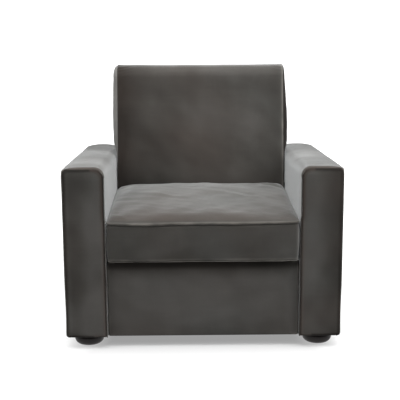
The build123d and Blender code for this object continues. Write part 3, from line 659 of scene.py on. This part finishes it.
# bottom panel: flat, with a lip like the top's
lip_bot = [(0.9, -0.5), (1.7, -1.2), (1.3, -1.9), (-0.6, -2.4)]
bot_rows = []
for sh, dn in lip_bot:
    side = (np.abs(outward[:, 0]) > 0.7) & (od > 24)
    q = ring(np.where(side, sh * 0.5, sh), zs_bot + dn)
    q[:, 2] = np.maximum(q[:, 2], CUSH_B + 0.25)
    bot_rows.append(q)
bot = np.array(bot_rows[::-1])
ring_in = outline - outward * 0.6
b2, bfaces, bdist, bsource = fill(ring_in, 14.0, [4.0, 9.0])
b_order = {}
for k_, src in enumerate(bsource):
    if 0 <= src < count:
        b_order[src] = k_
assert len(b_order) == count
bot_pts = np.stack([b2[:, 0], Y0 + b2[:, 1], np.full(len(b2), CUSH_B + 0.2)], 1)

# join: bottom panel, bottom lip, band, top lip, top panel
columns = np.concatenate([bot, band])
nrow = len(columns)
verts = [columns.reshape(-1, 3)]
quads = []
for i in range(nrow - 1):
    for j in range(count):
        a, b = i * count + j, i * count + (j + 1) % count
        quads.append((a, b, b + count, a + count))
base_top = nrow * count
top_index = {}
extra = []
for k_ in range(len(p2)):
    top_index[k_] = None
for src, k_ in order.items():
    top_index[k_] = (nrow - 1) * count + src
cursor = base_top
for k_ in range(len(p2)):
    if top_index[k_] is None:
        top_index[k_] = cursor
        extra.append(top_pts[k_])
        cursor += 1
top_tri = [tuple(top_index[v] for v in f) for f in faces2]
bot_index = {k_: None for k_ in range(len(b2))}
for src, k_ in b_order.items():
    bot_index[k_] = src
for k_ in range(len(b2)):
    if bot_index[k_] is None:
        bot_index[k_] = cursor
        extra.append(bot_pts[k_])
        cursor += 1
bot_tri = [tuple(bot_index[v] for v in f)[::-1] for f in bfaces]
verts = np.concatenate([verts[0], np.array(extra)])
edge_map = np.concatenate([np.full((len(bot), count), 4.0), np.array(row_edge)]).ravel()
top_edge = np.array([dist[k_] for k_ in range(len(p2)) if top_index[k_] >= base_top])
edge_all = np.full(len(verts), 60.0)
edge_all[:len(edge_map)] = edge_map
edge_all[base_top:base_top + len(top_edge)] = top_edge + 4.0
depth_in = verts[:, 1] - (Y0 + CF)
to_right = ease((verts[:, 0] + 60) / 300.0)
# painted light and shade on the cushion: a painted brown sheen tint on the top just behind the front seam, the top
# darker near the front and lighter further back, and a painted highlight down the right front corner
warm = 0.40 * np.exp(-0.5 * ((depth_in - 28) / 75.0) ** 2) * ease((verts[:, 2] - 431) / 6.0) * (1 - 0.5 * to_right)
light = np.where(verts[:, 2] > 431, -0.12 + 0.38 * ease((depth_in + 30) / 230) + 0.13 * to_right * np.exp(-0.5 * ((depth_in - 40) / 60.0) ** 2), 0.05)
light = light + 0.45 * np.exp(-0.5 * ((verts[:, 0] - CX - 0.5) / 5.0) ** 2) * (depth_in < 26) * (verts[:, 2] < 427)
# the band's upper edge gets no painted ridge highlight, its lower edge and the lip above the seam do
edge_all[len(bot) * count + 12 * count:len(bot) * count + len(ts) * count] = 60.0
cushion = piece("seat_cushion_velvet", verts, quads + top_tri + bot_tri, "seat_cushion",
                ["cushion_cover", "cushion_fibre_wrap"],
                nap_and_light=nap_and_light_of(verts, 620, edge_all, warm, light, 0.60))


# ------------------------------------------------------------------ materials
def material(name, color, rough=0.8, metallic=0.0, specular=0.3):
    m = bpy.data.materials.new(name)
    m.use_nodes = True
    nt = m.node_tree
    b = nt.nodes["Principled BSDF"]
    b.inputs["Base Color"].default_value = (*color, 1)
    b.inputs["Roughness"].default_value = rough
    b.inputs["Metallic"].default_value = metallic
    b.inputs["Specular IOR Level"].default_value = specular
    return m, nt, b


def coords(nt, scale=(1, 1, 1)):
    tc = nt.nodes.new("ShaderNodeTexCoord")
    mp = nt.nodes.new("ShaderNodeMapping")
    mp.inputs["Scale"].default_value = scale
    nt.links.new(tc.outputs["Object"], mp.inputs["Vector"])
    return mp.outputs["Vector"]


def tex_noise(nt, vec, scale, detail=3.0, rough=0.55, distortion=0.0):
    n = nt.nodes.new("ShaderNodeTexNoise")
    n.inputs["Scale"].default_value = scale
    n.inputs["Detail"].default_value = detail
    n.inputs["Roughness"].default_value = rough
    n.inputs["Distortion"].default_value = distortion
    nt.links.new(vec, n.inputs["Vector"])
    return n.outputs["Fac"]


def ramp(nt, fac, stops):
    r = nt.nodes.new("ShaderNodeValToRGB")
    e = r.color_ramp.elements
    e[0].position, e[0].color = stops[0][0], (*stops[0][1], 1)
    e[1].position, e[1].color = stops[-1][0], (*stops[-1][1], 1)
    for pos, col in stops[1:-1]:
        n = e.new(pos)
        n.color = (*col, 1)
    nt.links.new(fac, r.inputs["Fac"])
    return r.outputs["Color"]


def mix(nt, fac, a, b, mode="MIX"):
    n = nt.nodes.new("ShaderNodeMix")
    n.data_type = "RGBA"
    n.blend_type = mode
    for socket, value in (("Factor", fac), ("A", a), ("B", b)):
        target = [i for i in n.inputs if i.name == socket and i.type == ("VALUE" if socket == "Factor" else "RGBA")][0]
        if hasattr(value, "links"):
            nt.links.new(value, target)
        elif socket == "Factor":
            target.default_value = value
        else:
            target.default_value = (*value, 1)
    return [o for o in n.outputs if o.type == "RGBA"][0]


def math_node(nt, op, a, b=0.0, c=None):
    n = nt.nodes.new("ShaderNodeMath")
    n.operation = op
    for i, v in enumerate((a, b) if c is None else (a, b, c)):
        if hasattr(v, "links"):
            nt.links.new(v, n.inputs[i])
        else:
            n.inputs[i].default_value = v
    return n.outputs[0]


def bump(nt, bsdf, height, strength, distance):
    n = nt.nodes.new("ShaderNodeBump")
    n.inputs["Strength"].default_value = strength
    n.inputs["Distance"].default_value = distance
    nt.links.new(height, n.inputs["Height"])
    nt.links.new(n.outputs["Normal"], bsdf.inputs["Normal"])
    return n


def make_velvet():
    m, nt, b = material("velvet_pile", (0.06, 0.057, 0.052), 0.9, 0, 0.12)
    b.inputs["Sheen Weight"].default_value = 0.85
    b.inputs["Sheen Roughness"].default_value = 0.38
    b.inputs["Sheen Tint"].default_value = (0.80, 0.82, 0.825, 1)
    v = coords(nt)
    att = nt.nodes.new("ShaderNodeAttribute")
    att.attribute_name = "nap_and_light"
    sep = nt.nodes.new("ShaderNodeSeparateColor")
    nt.links.new(att.outputs["Color"], sep.inputs["Color"])
    cloudy = tex_noise(nt, v, 9.0, 4.0, 0.6, 0.4)
    streak = tex_noise(nt, coords(nt, (60, 60, 7)), 1.0, 3.0, 0.6)
    cross = tex_noise(nt, coords(nt, (8, 8, 90)), 1.0, 3.0, 0.6)
    fac = math_node(nt, "MULTIPLY_ADD", cloudy, 0.16, math_node(nt, "MULTIPLY", sep.outputs["Red"], 0.80))
    fac = math_node(nt, "MULTIPLY_ADD", streak, 0.04, fac)
    fac = math_node(nt, "MULTIPLY_ADD", cross, 0.05, fac)
    fac = math_node(nt, "SUBTRACT", fac, 0.025)
    # the ramp's top stops, far lighter than the cloth's own tone, give the painted light where the red channel is
    # raised
    base = ramp(nt, fac, [(0.10, (0.010, 0.0095, 0.0085)), (0.30, (0.026, 0.0255, 0.0230)), (0.50, (0.046, 0.0450, 0.0410)),
                          (0.80, (0.090, 0.089, 0.084)), (0.94, (0.21, 0.21, 0.205)), (1.0, (0.33, 0.33, 0.325))])
    # the sheen weight follows the red channel, so the painted shade also takes the sheen away
    nt.links.new(math_node(nt, "MINIMUM", math_node(nt, "MULTIPLY_ADD", sep.outputs["Red"], 1.6, 0.20), 0.85), b.inputs["Sheen Weight"])
    # the brown mix holds the cloth's brown tone and the painted brown sheen tint; the light ridge colour is a painted
    # highlight
    brown = mix(nt, math_node(nt, "MULTIPLY", sep.outputs["Green"], 0.75), base, (0.070, 0.054, 0.046), "MIX")
    ridge_highlight = mix(nt, math_node(nt, "MULTIPLY", sep.outputs["Blue"], 0.42), brown, (0.23, 0.215, 0.19), "MIX")
    nt.links.new(ridge_highlight, b.inputs["Base Color"])
    pile = tex_noise(nt, v, 1500.0, 2.0, 0.7)
    weave = tex_noise(nt, coords(nt, (420, 420, 900)), 1.0, 2.0, 0.6)
    crush = tex_noise(nt, v, 34.0, 4.0, 0.6, 0.3)
    h = math_node(nt, "MULTIPLY_ADD", crush, 1.8, math_node(nt, "ADD", pile, math_node(nt, "MULTIPLY", weave, 0.8)))
    bump(nt, b, h, 0.55, 0.0006)
    return m


def make_cloth(name, a, b_, scale, strength=0.5, rough=0.9, sheen=0.15):
    m, nt, b = material(name, a, rough, 0, 0.2)
    b.inputs["Sheen Weight"].default_value = sheen
    v = coords(nt)
    base = ramp(nt, tex_noise(nt, v, 18.0, 5.0), [(0.3, a), (0.7, b_)])
    nt.links.new(base, b.inputs["Base Color"])
    w1 = nt.nodes.new("ShaderNodeTexWave")
    w1.inputs["Scale"].default_value = scale
    w1.inputs["Distortion"].default_value = 1.2
    w2 = nt.nodes.new("ShaderNodeTexWave")
    w2.bands_direction = "Y"
    w2.inputs["Scale"].default_value = scale
    w2.inputs["Distortion"].default_value = 1.2
    nt.links.new(v, w1.inputs["Vector"])
    nt.links.new(v, w2.inputs["Vector"])
    bump(nt, b, math_node(nt, "ADD", w1.outputs["Fac"], w2.outputs["Fac"]), strength, 0.0003)
    return m


def make_wood(name, dark, light, scale, rough, coat=0.0):
    m, nt, b = material(name, dark, rough, 0, 0.4)
    b.inputs["Coat Weight"].default_value = coat
    b.inputs["Coat Roughness"].default_value = 0.25
    v = coords(nt, (1.0, 1.0, 6.0) if coat else (7.0, 1.0, 7.0))
    grain = tex_noise(nt, v, scale, 6.0, 0.65, 1.4)
    nt.links.new(ramp(nt, grain, [(0.30, dark), (0.52, tuple((p + q) / 2 for p, q in zip(dark, light))), (0.74, light)]), b.inputs["Base Color"])
    fine = tex_noise(nt, coords(nt, (90, 14, 90)), 6.0, 4.0, 0.7)
    nt.links.new(ramp(nt, fine, [(0.3, (rough - 0.12,) * 3), (0.7, (rough + 0.12,) * 3)]), b.inputs["Roughness"])
    bump(nt, b, math_node(nt, "ADD", grain, fine), 0.25, 0.0004)
    return m


def make_metal(name, a, b_, rough):
    m, nt, b = material(name, a, rough, 1.0, 0.5)
    v = coords(nt, (1, 1, 40))
    n = tex_noise(nt, v, 60.0, 5.0, 0.6)
    nt.links.new(ramp(nt, n, [(0.3, a), (0.7, b_)]), b.inputs["Base Color"])
    nt.links.new(ramp(nt, tex_noise(nt, coords(nt), 240.0, 3.0), [(0.3, (rough - 0.1,) * 3), (0.7, (rough + 0.15,) * 3)]), b.inputs["Roughness"])
    bump(nt, b, n, 0.15, 0.0002)
    return m


def make_foam(name, a, b_, scale, distance):
    m, nt, b = material(name, a, 0.95, 0, 0.1)
    v = coords(nt)
    vor = nt.nodes.new("ShaderNodeTexVoronoi")
    vor.inputs["Scale"].default_value = scale
    nt.links.new(v, vor.inputs["Vector"])
    nt.links.new(ramp(nt, tex_noise(nt, v, 12.0, 4.0), [(0.3, a), (0.7, b_)]), b.inputs["Base Color"])
    bump(nt, b, math_node(nt, "ADD", vor.outputs["Distance"], tex_noise(nt, v, scale * 0.6, 3.0)), 0.6, distance)
    return m


VELVET = make_velvet()
mats = {
    "velvet": VELVET,
    "padding": make_foam("polyester_felt", (0.62, 0.61, 0.56), (0.74, 0.73, 0.68), 260.0, 0.0012),
    "foam": make_foam("upholstery_foam", (0.70, 0.60, 0.36), (0.80, 0.72, 0.48), 700.0, 0.0006),
    "fibre": make_foam("hollow_fibre", (0.76, 0.76, 0.73), (0.86, 0.86, 0.84), 160.0, 0.002),
    "hardwood": make_wood("sawn_hardwood", (0.34, 0.21, 0.11), (0.56, 0.40, 0.24), 5.0, 0.7),
    "dark_wood": make_wood("espresso_wood", (0.010, 0.0072, 0.0068), (0.026, 0.0175, 0.0155), 22.0, 0.42, 0.12),
    "zinc_steel": make_metal("zinc_plate", (0.52, 0.53, 0.55), (0.66, 0.67, 0.68), 0.32),
    "spring_steel": make_metal("oil_tempered_steel", (0.05, 0.05, 0.055), (0.10, 0.10, 0.11), 0.40),
    "tie_wire": make_cloth("paper_wrapped_wire", (0.40, 0.31, 0.19), (0.50, 0.40, 0.27), 500.0, 0.6, 0.85, 0.0),
    "webbing": make_cloth("jute_webbing", (0.34, 0.27, 0.17), (0.46, 0.38, 0.26), 420.0, 0.9, 0.9, 0.1),
    "deck_cloth": make_cloth("lining_cloth", (0.040, 0.038, 0.036), (0.062, 0.060, 0.056), 900.0, 0.7, 0.92, 0.2),
    "dust_cloth": make_cloth("black_cambric", (0.008, 0.008, 0.009), (0.016, 0.016, 0.017), 700.0, 0.6, 0.85, 0.1),
    "zip_tape": make_cloth("zip_tape_weave", (0.020, 0.0195, 0.019), (0.034, 0.033, 0.032), 1300.0, 0.9, 0.8, 0.1),
    "zip_metal": make_metal("gunmetal", (0.16, 0.16, 0.165), (0.26, 0.26, 0.265), 0.34),
}
gm, gnt, gb = material("glide_nylon", (0.012, 0.011, 0.011), 0.55, 0, 0.4)
gn = tex_noise(gnt, coords(gnt), 420.0, 4.0)
gnt.links.new(ramp(gnt, gn, [(0.3, (0.009, 0.0085, 0.0085)), (0.7, (0.017, 0.016, 0.016))]), gb.inputs["Base Color"])
bump(gnt, gb, gn, 0.3, 0.0002)
mats["glide_plastic"] = gm

slot_of = {s["node"]: s["material_slot"] for s in frame["record"]["subparts"]}
for name, ob in frame["nodes"].items():
    ob.data.materials.clear()
    ob.data.materials.append(mats[slot_of[name]])
for ob in bpy.data.objects:
    if ob.type == "MESH" and ob.name not in frame["nodes"]:
        ob.data.materials.clear()
        ob.data.materials.append(mats["deck_cloth"] if ob.name == "seat_deck_cloth" else VELVET)

# ------------------------------------------------------------------ floor, light and camera
me = bpy.data.meshes.new("studio_floor")
me.from_pydata([(-400, -60, 0), (400, -60, 0), (400, 1500, 0), (-400, 1500, 0)], [], [(0, 1, 2, 3)])
floor = bpy.data.objects.new("studio_floor", me)
bpy.context.scene.collection.objects.link(floor)
# the floor glows: weakly beside the chair and more strongly further out, so it reads white with a soft shadow only
# around the footprint; hidden from diffuse and glossy rays, it lights nothing
fm, fnt, fb = material("glowing_floor", (0.32, 0.32, 0.32), 0.9, 0, 0.05)
fb.inputs["Emission Color"].default_value = (1, 1, 1, 1)
fsep = fnt.nodes.new("ShaderNodeSeparateXYZ")
fnt.links.new(coords(fnt), fsep.inputs[0])
aside = math_node(fnt, "SUBTRACT", math_node(fnt, "ABSOLUTE", fsep.outputs["X"]), 0.31)
ahead = math_node(fnt, "SUBTRACT", math_node(fnt, "ABSOLUTE", fsep.outputs["Y"]), 0.355)
aside = math_node(fnt, "MULTIPLY", aside, 1.75)
away = math_node(fnt, "MAXIMUM", math_node(fnt, "MAXIMUM", aside, ahead), 0.0)
fnt.links.new(math_node(fnt, "MINIMUM", math_node(fnt, "MULTIPLY_ADD", away, 1.25, 0.335), 1.3), fb.inputs["Emission Strength"])
me.materials.append(fm)
floor.visible_diffuse = False
floor.visible_glossy = False

world = bpy.data.worlds.new("studio")
bpy.context.scene.world = world
world.use_nodes = True
wnt = world.node_tree
bg = wnt.nodes["Background"]
bg.inputs["Strength"].default_value = 1.0
# light from the floor's bounce below and from a soft box overhead; the studio itself is dim
wtc = wnt.nodes.new("ShaderNodeTexCoord")
wsep = wnt.nodes.new("ShaderNodeSeparateXYZ")
wnt.links.new(wtc.outputs["Generated"], wsep.inputs[0])
dome = ramp(wnt, math_node(wnt, "MULTIPLY_ADD", wsep.outputs["Z"], 0.5, 0.5),
            [(0.0, (0.60, 0.60, 0.60)), (0.43, (0.60, 0.60, 0.60)), (0.517, (0.02, 0.02, 0.02)), (0.883, (0.02, 0.02, 0.02)),
             (0.933, (1.0, 1.0, 1.0)), (1.0, (1.0, 1.0, 1.0))])
high = math_node(wnt, "GREATER_THAN", wsep.outputs["Z"], 0.70)
gain = mix(wnt, high, (1.0, 1.0, 1.0), (3.0, 3.0, 3.0))
ray = wnt.nodes.new("ShaderNodeLightPath")
seen = mix(wnt, ray.outputs["Is Camera Ray"], mix(wnt, 1.0, dome, gain, "MULTIPLY"), (1.0, 1.0, 1.0))
wnt.links.new(seen, bg.inputs["Color"])


def area(name, at, target, size, power, color=(1, 1, 1)):
    ld = bpy.data.lights.new(name, "AREA")
    ld.shape = "RECTANGLE"
    ld.size, ld.size_y = size
    ld.energy = power
    ld.color = color
    ob = bpy.data.objects.new(name, ld)
    ob.location = at
    ob.rotation_mode = "QUATERNION"
    ob.rotation_quaternion = (Vector(target) - Vector(at)).to_track_quat("-Z", "Y")
    bpy.context.scene.collection.objects.link(ob)


area("overhead", (0.2, -0.2, 3.1), (0, 0, 0.4), (2.6, 2.0), 19)
area("overhead_front", (0.2, -1.5, 2.9), (0, 0, 0.4), (2.6, 1.6), 34)
area("left_box", (-2.6, -1.0, 2.2), (0, 0, 0.5), (2.8, 1.9), 51)
area("right_box", (2.6, -1.0, 2.2), (0, 0, 0.5), (2.8, 1.9), 80)

cam_data = bpy.data.cameras.new("camera")
cam = bpy.data.objects.new("camera", cam_data)
bpy.context.scene.collection.objects.link(cam)
pitch, yaw, tilt = 0.20177, -0.011099, -0.004737
cp, sp, cyw, syw = math.cos(pitch), math.sin(pitch), math.cos(yaw), math.sin(yaw)
cr, sr = math.cos(tilt), math.sin(tilt)
flat_right = Vector((cyw, syw, 0))
flat_up = Vector((-syw * sp, cyw * sp, cp))
right = flat_right * cr + flat_up * sr
up = flat_up * cr - flat_right * sr
forward = Vector((-syw * cp, cyw * cp, -sp))
m4 = Matrix.Identity(4)
for i in range(3):
    m4[i][0], m4[i][1], m4[i][2] = right[i], up[i], -forward[i]
m4.translation = Vector((-0.044689, (-3152.561 + Y0) / 1000.0, 1.149793))
cam.matrix_world = m4
cam_data.sensor_width = 36.0
cam_data.lens = 996.0327 / 400.0 * 36.0
cam_data.clip_end = 3000
bpy.context.scene.camera = cam
bpy.context.scene.view_settings.view_transform = "Standard"
bpy.context.scene.view_settings.look = "None"
